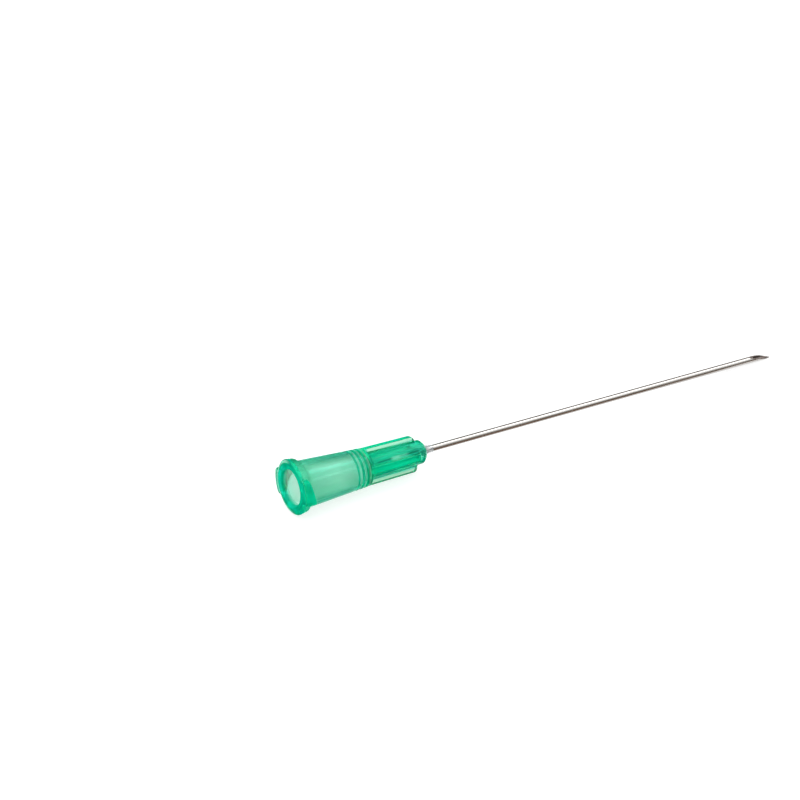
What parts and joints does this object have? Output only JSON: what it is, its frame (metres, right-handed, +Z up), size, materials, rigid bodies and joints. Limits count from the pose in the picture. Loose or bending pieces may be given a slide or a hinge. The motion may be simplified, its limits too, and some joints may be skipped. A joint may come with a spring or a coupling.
{
  "type": "hypodermic needle",
  "caption": "Single-use hypodermic needle: a translucent green locking hub with gripping fins and a bevelled steel cannula bonded into its nose.",
  "frame": {"origin": "on the surface that the needle lies on, below the middle of its box", "axes": "+X towards the point along the length, +Z up; the needle lies on the rim of its hub and on its point, so its axis dips about 2.5 degrees towards +X"},
  "size_m": [0.0678, 0.0078, 0.0067],
  "materials": {
    "hub_plastic": "translucent green polypropylene, gloss",
    "cannula_steel": "bright drawn stainless tube",
    "cured_resin": "clear greyish cured resin, gloss"
  },
  "bodies": {
    "root": {"hub": "hub_plastic", "cannula": "cannula_steel", "adhesive": "cured_resin"}
  },
  "joints": []
}
